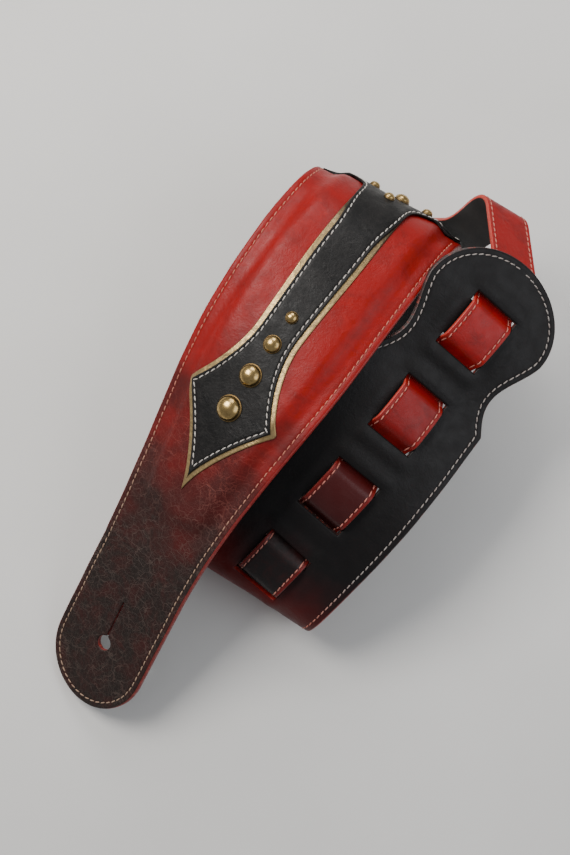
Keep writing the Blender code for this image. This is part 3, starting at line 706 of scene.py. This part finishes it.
class Paint:
    """A material's nodes, written as nested calls: a value is a number, a colour or a socket."""

    def __init__(self, name):
        self.material = bpy.data.materials.new(name)
        self.material.use_nodes = True
        self.tree = self.material.node_tree
        self.shader = self.tree.nodes["Principled BSDF"]

    def add(self, kind, inputs=(), output=0, **settings):
        node = self.tree.nodes.new(kind)
        for key, value in settings.items():
            setattr(node, key, value)
        for key, value in dict(inputs).items():
            self.set(node.inputs[key], value)
        return node.outputs[output]

    def set(self, socket, value):
        if isinstance(value, bpy.types.NodeSocket):
            self.tree.links.new(value, socket)
        elif isinstance(value, tuple) and len(value) == 3 and socket.type == "RGBA":
            socket.default_value = (*value, 1.0)
        else:
            socket.default_value = value

    def shade(self, **values):
        for key, value in values.items():
            self.set(self.shader.inputs[key.replace("_", " ")], value)
        return self.material

    def flat(self):
        """Flat pattern coordinates in millimetres."""
        uv = self.add("ShaderNodeUVMap", uv_map="flat")
        return self.add("ShaderNodeVectorMath", {0: uv, 1: (1000.0, 1000.0, 0.0)}, operation="MULTIPLY")

    def place(self):
        """Position on the object in millimetres."""
        here = self.add("ShaderNodeTexCoord", output="Object")
        return self.add("ShaderNodeVectorMath", {0: here, 1: (1000.0,) * 3}, operation="MULTIPLY")

    def along(self, flat):
        return self.add("ShaderNodeSeparateXYZ", {0: flat}, output="Y")

    def across(self, flat):
        return self.add("ShaderNodeSeparateXYZ", {0: flat}, output="X")

    def noise(self, where, scale, detail=4.0, roughness=0.55, distortion=0.0):
        return self.add("ShaderNodeTexNoise", {"Vector": where, "Scale": scale, "Detail": detail,
                                               "Roughness": roughness, "Distortion": distortion})

    def cells(self, where, scale, feature="F1"):
        return self.add("ShaderNodeTexVoronoi", {"Vector": where, "Scale": scale}, feature=feature)

    def math(self, operation, a, b=0.0):
        return self.add("ShaderNodeMath", {0: a, 1: b}, operation=operation)

    def fit(self, value, low, high, first=0.0, last=1.0):
        """Map a value from one range to another, smoothly, and hold it there."""
        return self.add("ShaderNodeMapRange", {0: value, 1: low, 2: high, 3: first, 4: last},
                        interpolation_type="SMOOTHSTEP")

    def mix(self, share, first, second, blend="MIX"):
        node = self.tree.nodes.new("ShaderNodeMix")
        node.data_type = "RGBA"
        node.blend_type = blend
        self.set(node.inputs[0], share)
        self.set(node.inputs[6], first)
        self.set(node.inputs[7], second)
        return node.outputs[2]

    def bump(self, height, strength, distance, below=None):
        inputs = {"Height": height, "Strength": strength, "Distance": distance}
        if below is not None:
            inputs["Normal"] = below
        return self.add("ShaderNodeBump", inputs)

    def warped(self, where, scale, reach):
        """Coordinates pushed about by noise, for lines that wander."""
        noise = {"Vector": where, "Scale": scale, "Detail": 3.0}
        push = self.add("ShaderNodeTexNoise", noise, output="Color")
        centred = self.add("ShaderNodeVectorMath", {0: push, 1: (0.5, 0.5, 0.5)}, operation="SUBTRACT")
        moved = self.add("ShaderNodeVectorMath", {0: centred, 1: (reach,) * 3}, operation="MULTIPLY")
        return self.add("ShaderNodeVectorMath", {0: where, 1: moved}, operation="ADD")


TIP_BROWN = (0.0135, 0.0085, 0.0070)
MAROON = (0.062, 0.0052, 0.0042)
BRIGHT_RED = (0.235, 0.0028, 0.0020)
WORN_RED = (0.34, 0.0105, 0.0060)
NEAR_BLACK = (0.0042, 0.0036, 0.0036)
DEEP_RED = (0.085, 0.0030, 0.0026)


def leather_bump(paint, flat, grain=1.0):
    """Pebbled grain, fine wrinkles and pores."""
    pebbles = paint.cells(paint.warped(flat, 0.35, 1.6), 0.62)
    wrinkles = paint.noise(flat, 0.16, 7.0, 0.62, 0.8)
    pores = paint.noise(flat, 1.9, 3.0)
    first = paint.bump(wrinkles, 0.24 * grain, 0.0014)
    second = paint.bump(pebbles, 0.10 * grain, 0.0005, first)
    return paint.bump(pores, 0.10 * grain, 0.0004, second)


def strap_leather():
    """Dyed leather: near-black at the tip, red over the shoulder and black again at the slots."""
    paint = Paint("strap_face")
    flat = paint.flat()
    along = paint.along(flat)
    cloud = paint.noise(flat, 0.022, 3.0)
    drift = paint.math("ADD", along, paint.fit(cloud, 0.3, 0.7, -34.0, 34.0))
    colour = paint.mix(paint.fit(drift, 95.0, 185.0), TIP_BROWN, MAROON)
    colour = paint.mix(paint.fit(drift, 160.0, 262.0), colour, BRIGHT_RED)
    mottle = paint.fit(paint.noise(flat, 0.055, 8.0, 0.7, 0.6), 0.40, 0.72)
    colour = paint.mix(paint.math("MULTIPLY", mottle, 0.42), colour, MAROON)
    red_zone = paint.fit(drift, 185.0, 280.0)
    worn = paint.fit(paint.noise(flat, 0.09, 9.0, 0.75, 1.2), 0.55, 0.72)
    colour = paint.mix(paint.math("MULTIPLY", paint.math("MULTIPLY", worn, red_zone), 0.45), colour, WORN_RED)
    slight = paint.math("ADD", along, paint.fit(cloud, 0.3, 0.7, -9.0, 9.0))
    colour = paint.mix(paint.fit(slight, 655.0, 690.0), colour, DEEP_RED)
    black = paint.fit(slight, 676.0, 738.0)
    colour = paint.mix(black, colour, NEAR_BLACK)
    veins = paint.cells(paint.warped(flat, 0.09, 16.0), 0.13, "DISTANCE_TO_EDGE")
    vein = paint.fit(veins, 0.0, 0.045, 1.0, 0.0)
    hair = paint.cells(paint.warped(flat, 0.25, 6.0), 0.38, "DISTANCE_TO_EDGE")
    hairline = paint.fit(hair, 0.0, 0.07, 1.0, 0.0)
    lines = paint.math("MAXIMUM", vein, paint.math("MULTIPLY", hairline, 0.55))
    patchy = paint.fit(paint.noise(flat, 0.035, 5.0, 0.65), 0.32, 0.66, 0.3, 1.0)
    lines = paint.math("MULTIPLY", lines, patchy)
    old = paint.fit(along, 150.0, 235.0, 1.0, 0.07)
    old = paint.math("MULTIPLY", old, paint.fit(along, 640.0, 700.0, 1.0, 0.12))
    marks = paint.math("MULTIPLY", lines, old)
    pale = paint.mix(paint.fit(along, 120.0, 240.0), (0.095, 0.066, 0.054), (0.42, 0.040, 0.024))
    colour = paint.mix(paint.math("MULTIPLY", marks, 0.5), colour, pale)
    scuff = paint.fit(paint.noise(flat, 0.5, 6.0, 0.8, 2.0), 0.60, 0.76)
    scuff = paint.math("MULTIPLY", scuff, paint.fit(along, 90.0, 230.0, 0.4, 0.08))
    colour = paint.mix(scuff, colour, pale)
    rough = paint.fit(paint.noise(flat, 0.11, 6.0, 0.6), 0.3, 0.7, 0.36, 0.50)
    rough = paint.math("ADD", rough, paint.fit(along, 200.0, 270.0, 0.10, 0.0))
    rough = paint.math("ADD", rough, paint.fit(along, 660.0, 730.0, 0.0, 0.06))
    rough = paint.math("ADD", rough, paint.math("MULTIPLY", marks, 0.12))
    ridged = paint.bump(paint.math("MULTIPLY", lines, old), 0.3, 0.0007, leather_bump(paint, flat))
    return paint.shade(Base_Color=colour, Roughness=rough, Normal=ridged, Specular_IOR_Level=0.22)


def black_leather():
    paint = Paint("applique_black")
    flat = paint.flat()
    mottle = paint.fit(paint.noise(flat, 0.07, 7.0, 0.7, 0.8), 0.35, 0.7)
    colour = paint.mix(mottle, (0.0032, 0.0030, 0.0030), (0.0095, 0.0086, 0.0083))
    lines = paint.fit(paint.cells(paint.warped(flat, 0.2, 8.0), 0.2, "DISTANCE_TO_EDGE"), 0.0, 0.05, 1.0, 0.0)
    colour = paint.mix(paint.math("MULTIPLY", lines, 0.2), colour, (0.04, 0.035, 0.032))
    rough = paint.fit(paint.noise(flat, 0.12, 5.0), 0.3, 0.7, 0.40, 0.56)
    return paint.shade(Base_Color=colour, Roughness=rough, Normal=leather_bump(paint, flat),
                       Specular_IOR_Level=0.2)


def tail_leather():
    """Bright red by the lobe, darker at each window towards the fold."""
    paint = Paint("tail_face")
    flat = paint.flat()
    along = paint.along(flat)
    colour = paint.mix(paint.fit(along, 722.0, 790.0), (0.0065, 0.0038, 0.0036), (0.045, 0.0032, 0.0030))
    colour = paint.mix(paint.fit(along, 790.0, 838.0), colour, (0.19, 0.0030, 0.0022))
    colour = paint.mix(paint.fit(along, 850.0, 905.0), colour, (0.25, 0.0034, 0.0024))
    mottle = paint.fit(paint.noise(flat, 0.08, 7.0, 0.7, 0.8), 0.42, 0.7)
    colour = paint.mix(paint.math("MULTIPLY", mottle, 0.4), colour, (0.04, 0.0036, 0.0030))
    side = paint.fit(paint.math("ABSOLUTE", paint.across(flat)), 11.2, 14.6)
    colour = paint.mix(paint.math("MULTIPLY", side, 0.35), colour, WORN_RED)
    rough = paint.fit(paint.noise(flat, 0.13, 5.0), 0.3, 0.7, 0.34, 0.5)
    return paint.shade(Base_Color=colour, Roughness=rough, Normal=leather_bump(paint, flat, 0.8),
                       Specular_IOR_Level=0.3)


def lining_leather():
    paint = Paint("lining")
    flat = paint.flat()
    nap = paint.noise(flat, 0.8, 8.0, 0.75)
    cloud = paint.fit(paint.noise(flat, 0.05, 5.0), 0.35, 0.65)
    colour = paint.mix(cloud, (0.011, 0.0095, 0.009), (0.027, 0.023, 0.021))
    colour = paint.mix(paint.fit(nap, 0.5, 0.8, 0.0, 0.4), colour, (0.05, 0.043, 0.038))
    rough = paint.fit(nap, 0.3, 0.7, 0.62, 0.85)
    return paint.shade(Base_Color=colour, Roughness=rough, Normal=paint.bump(nap, 0.35, 0.0006),
                       Sheen_Weight=0.15)


def edge_paint():
    """Burnished and painted edge, worn paler here and there."""
    paint = Paint("edge")
    flat = paint.flat()
    along = paint.along(flat)
    colour = paint.mix(paint.fit(along, 60.0, 220.0), (0.16, 0.012, 0.009), (0.24, 0.0075, 0.0055))
    colour = paint.mix(paint.fit(along, 690.0, 760.0), colour, (0.022, 0.012, 0.011))
    worn = paint.fit(paint.noise(flat, 0.35, 7.0, 0.7), 0.48, 0.7)
    colour = paint.mix(paint.math("MULTIPLY", worn, 0.5), colour, (0.40, 0.070, 0.045))
    rough = paint.fit(paint.noise(flat, 0.6, 4.0), 0.3, 0.7, 0.35, 0.6)
    return paint.shade(Base_Color=colour, Roughness=rough, Normal=paint.bump(worn, 0.25, 0.0004))


def tail_edge_paint():
    paint = Paint("tail_edge")
    flat = paint.flat()
    along = paint.along(flat)
    colour = paint.mix(paint.fit(along, 730.0, 840.0), (0.04, 0.012, 0.010), (0.38, 0.035, 0.022))
    worn = paint.fit(paint.noise(flat, 0.4, 6.0, 0.7), 0.48, 0.7)
    colour = paint.mix(paint.math("MULTIPLY", worn, 0.4), colour, (0.40, 0.15, 0.10))
    rough = paint.fit(worn, 0.0, 1.0, 0.38, 0.55)
    return paint.shade(Base_Color=colour, Roughness=rough, Normal=paint.bump(worn, 0.2, 0.0003))


def metallic_leather():
    """Gold foil on leather, cracked and rubbed, and darker towards the shoulder."""
    paint = Paint("gold_trim")
    flat = paint.flat()
    along = paint.along(flat)
    wear = paint.fit(paint.noise(flat, 0.28, 8.0, 0.75, 0.8), 0.42, 0.68)
    colour = paint.mix(paint.math("MULTIPLY", wear, 0.7), (0.40, 0.285, 0.13), (0.11, 0.072, 0.040))
    colour = paint.mix(paint.fit(along, 305.0, 352.0, 0.0, 0.85), colour, (0.035, 0.028, 0.024))
    foil = paint.fit(wear, 0.0, 1.0, 0.95, 0.5)
    rough = paint.fit(paint.noise(flat, 0.5, 6.0), 0.3, 0.7, 0.30, 0.5)
    return paint.shade(Base_Color=colour, Metallic=foil, Roughness=rough,
                       Normal=leather_bump(paint, flat, 0.8))


def thread(name, first, second, third):
    """Twisted thread, whose colour passes from one shade to the next along the strap."""
    paint = Paint(name)
    flat = paint.flat()
    along = paint.along(flat)
    colour = paint.mix(paint.fit(along, 110.0, 235.0), first, second)
    colour = paint.mix(paint.fit(along, 690.0, 745.0), colour, third)
    dust = paint.fit(paint.noise(flat, 0.4, 5.0), 0.4, 0.7)
    colour = paint.mix(paint.math("MULTIPLY", dust, 0.4), colour, (0.13, 0.055, 0.042))
    ply = paint.add("ShaderNodeTexWave", {"Vector": flat, "Scale": 1.1, "Distortion": 1.0},
                    bands_direction="DIAGONAL")
    rough = paint.fit(dust, 0.0, 1.0, 0.55, 0.75)
    return paint.shade(Base_Color=colour, Roughness=rough, Normal=paint.bump(ply, 0.5, 0.0003))


def antique_brass():
    """Brass with a brown patina that handling has rubbed bright on top."""
    paint = Paint("antique_brass")
    here = paint.place()
    patina = paint.fit(paint.noise(here, 0.45, 7.0, 0.7), 0.40, 0.68)
    height = paint.add("ShaderNodeSeparateXYZ", {0: here}, output="Z")
    low = paint.fit(height, 0.5, 2.2, 0.85, 0.0)
    aged = paint.math("MAXIMUM", paint.math("MULTIPLY", patina, 0.55), low)
    colour = paint.mix(aged, (0.47, 0.325, 0.13), (0.10, 0.062, 0.028))
    rough = paint.fit(aged, 0.0, 1.0, 0.24, 0.48)
    dents = paint.noise(here, 0.7, 3.0)
    return paint.shade(Base_Color=colour, Metallic=1.0, Roughness=rough,
                       Normal=paint.bump(dents, 0.12, 0.0004))


# ---------------------------------------------------------------- the pieces


def bend_at_tab(item):
    """Bake the piece's placement into its mesh."""
    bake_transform(item)


def build_strap(face, lining, edge, thread_material):
    openings = [keyhole_opening(BUTTON_HOLE_FROM_TIP, 1, BUTTON_SLIT_LENGTH)] + slot_openings()
    body = grid_slab("strap_leather", half_width, 0.0, LOBE_END, TAB_ROUNDING, LOBE_END - LOBE_CENTRE,
                     openings, strap_top, strap_bottom, EDGE_RADIUS, STITCH_INSET, (face, lining, edge))
    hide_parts("strap_face_leather", "strap_lining_leather", "shoulder_foam_padding",
                "front_tab_face_leather", "front_tab_lining_leather")
    bend_at_tab(body)
    seam = seam_path(half_width, 0.0, LOBE_END, TAB_ROUNDING, LOBE_END - LOBE_CENTRE, STITCH_INSET)
    whole = np.concatenate((seam[::-1], mirrored(seam)))
    patch = (PATCH_START - 10 * MM, PATCH_END + 8 * MM)
    sewn = stitching("strap_edge_stitching", [whole], sewn_level(strap_top), thread_material, skip=[patch])
    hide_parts("strap_stitching_front_right", "strap_stitching_front_left", "strap_stitching_back",
                "front_tab_stitching")
    bend_at_tab(sewn)


def sewn_level(top):
    """Height that thread lies at, in its groove."""
    return lambda across, along: top(across, along) - 0.5 * GROOVE_DEPTH


def build_tail(face, lining, edge, thread_material):
    openings = [keyhole_opening(TAIL_END - TAIL_HOLE_FROM_END, -1, TAIL_SLIT_LENGTH)]
    body = grid_slab("tail_leather", tail_width, TAIL_START, TAIL_END, 0.0, TAIL_HALF_WIDTH, openings,
                     tail_top, tail_bottom, 0.8 * MM, 2.6 * MM, (face, lining, edge), with_tail=True)
    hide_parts("tail_face_leather", "tail_lining_leather", "tail_tab_face_leather",
                "tail_tab_lining_leather")
    bend_at_tab(body)
    seam = seam_path(tail_width, TAIL_START, TAIL_END, 0.0, TAIL_HALF_WIDTH, 2.6 * MM)
    whole = np.concatenate((seam, mirrored(seam)[::-1]))
    sewn = stitching("tail_edge_stitching", [whole], sewn_level(tail_top), thread_material, with_tail=True)
    bend_at_tab(sewn)


def build_applique(gold, black, lining, thread_material):
    underlay = grid_slab("applique_trim", spade_width, SPADE_POINT, UNDERLAY_END, 0.0, 0.0, [],
                         underlay_top, strap_top, APPLIQUE_RADIUS, 0.0, (gold, lining, gold))
    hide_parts("applique_metallic_underlay")
    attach(underlay, "strap")
    cover = grid_slab("applique_leather", applique_width, APPLIQUE_START, PATCH_END, 0.0, 0.0, [],
                      applique_top, underlay_top, APPLIQUE_RADIUS, APPLIQUE_STITCH_INSET,
                      (black, lining, black))
    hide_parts("applique_black_leather")
    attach(cover, "strap")
    seam = seam_path(applique_width, APPLIQUE_START, PATCH_END, 0.0, 0.0, APPLIQUE_STITCH_INSET)
    seam = seam[seam[:, 1] > APPLIQUE_START + 3 * MM]
    sewn = stitching("applique_stitching", [seam, mirrored(seam)], sewn_level(applique_top), thread_material)
    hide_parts("applique_stitching_left", "applique_stitching_right", "patch_stitching_left",
                "patch_stitching_right")
    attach(sewn, "strap")


def build_studs(brass):
    for group, studs in (("spade_stud", SPADE_STUDS), ("shoulder_stud", SHOULDER_STUDS)):
        for number, (along, across, diameter) in enumerate(studs, 1):
            dome = stud(f"{group}_dome_{number}", along * MM, across * MM, diameter * MM, brass)
            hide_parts(f"{group}_{number}")
            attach(dome, "strap")


# ---------------------------------------------------------------- floor, light and camera

VIEW_ELEVATION = math.radians(82.09)
VIEW_AZIMUTH = math.radians(29.52)
VIEW_DISTANCE = 883.64 * MM
VIEW_CENTRE = Vector((190 * MM, -20 * MM, 50 * MM)) - Vector(COIL_CENTRE)
VIEW_SIDESTEP = (17.12 * MM, 5.59 * MM)
LENS = 61.95


def view_axes():
    """Rightward, upward and forward directions of the camera."""
    level = Vector((math.cos(VIEW_AZIMUTH), math.sin(VIEW_AZIMUTH), 0.0))
    right = Vector((math.sin(VIEW_AZIMUTH), -math.cos(VIEW_AZIMUTH), 0.0))
    down = Vector((0.0, 0.0, -1.0))
    forward = level * math.cos(VIEW_ELEVATION) + down * math.sin(VIEW_ELEVATION)
    up = level * math.sin(VIEW_ELEVATION) - down * math.cos(VIEW_ELEVATION)
    return right, up, forward


def build_camera():
    right, up, forward = view_axes()
    lens = bpy.data.cameras.new("camera")
    lens.lens = LENS
    camera = bpy.data.objects.new("camera", lens)
    bpy.context.scene.collection.objects.link(camera)
    turned = Matrix((right, up, -forward)).transposed()
    spot = VIEW_CENTRE + right * VIEW_SIDESTEP[0] + up * VIEW_SIDESTEP[1] - forward * VIEW_DISTANCE
    camera.matrix_world = Matrix.Translation(spot) @ turned.to_4x4()
    bpy.context.scene.camera = camera


def build_floor():
    bpy.ops.mesh.primitive_plane_add(size=6.0, location=(0.0, 0.0, 0.0))
    floor = bpy.context.object
    floor.name = "floor"
    paint = Paint("floor")
    cloud = paint.fit(paint.noise(paint.place(), 0.004, 4.0), 0.3, 0.7)
    colour = paint.mix(cloud, (0.60, 0.59, 0.57), (0.64, 0.63, 0.61))
    floor.data.materials.append(paint.shade(Base_Color=colour, Roughness=0.75))


def build_light(name, aside, above, height, size, power, tint):
    """Square soft light, placed in the camera's own left-right and up-down directions."""
    right, up, _ = view_axes()
    lamp = bpy.data.lights.new(name, "AREA")
    lamp.size = size
    lamp.energy = power
    lamp.color = tint
    item = bpy.data.objects.new(name, lamp)
    bpy.context.scene.collection.objects.link(item)
    spot = right * aside + up * above + Vector((0.0, 0.0, height))
    item.location = spot
    item.rotation_mode = "QUATERNION"
    item.rotation_quaternion = (-spot).to_track_quat("-Z", "Y")


def build_world():
    world = bpy.data.worlds.new("world")
    bpy.context.scene.world = world
    world.use_nodes = True
    backdrop = world.node_tree.nodes["Background"]
    backdrop.inputs["Color"].default_value = (0.93, 0.95, 1.0, 1.0)
    backdrop.inputs["Strength"].default_value = 0.35


def main():
    edge = edge_paint()
    lining = lining_leather()
    body_thread = thread("body_thread", (0.33, 0.22, 0.15), (0.50, 0.15, 0.10), (0.30, 0.27, 0.25))
    pale_thread = thread("pale_thread", (0.5, 0.47, 0.43), (0.5, 0.47, 0.43), (0.5, 0.47, 0.43))
    tail_thread = thread("tail_thread", (0.5, 0.2, 0.15), (0.5, 0.2, 0.15), (0.5, 0.17, 0.13))
    build_camera()
    build_strap(strap_leather(), lining, edge, body_thread)
    build_tail(tail_leather(), lining, tail_edge_paint(), tail_thread)
    build_applique(metallic_leather(), black_leather(), lining, pale_thread)
    build_studs(antique_brass())
    build_floor()
    build_world()
    build_light("key_light", -0.55, 0.45, 0.85, 0.5, 13.0, (1.0, 0.97, 0.93))
    build_light("fill_light", 0.7, -0.2, 0.7, 0.8, 4.2, (0.93, 0.96, 1.0))
    build_light("top_light", 0.1, 0.9, 0.6, 0.5, 5.5, (1.0, 0.98, 0.96))


main()
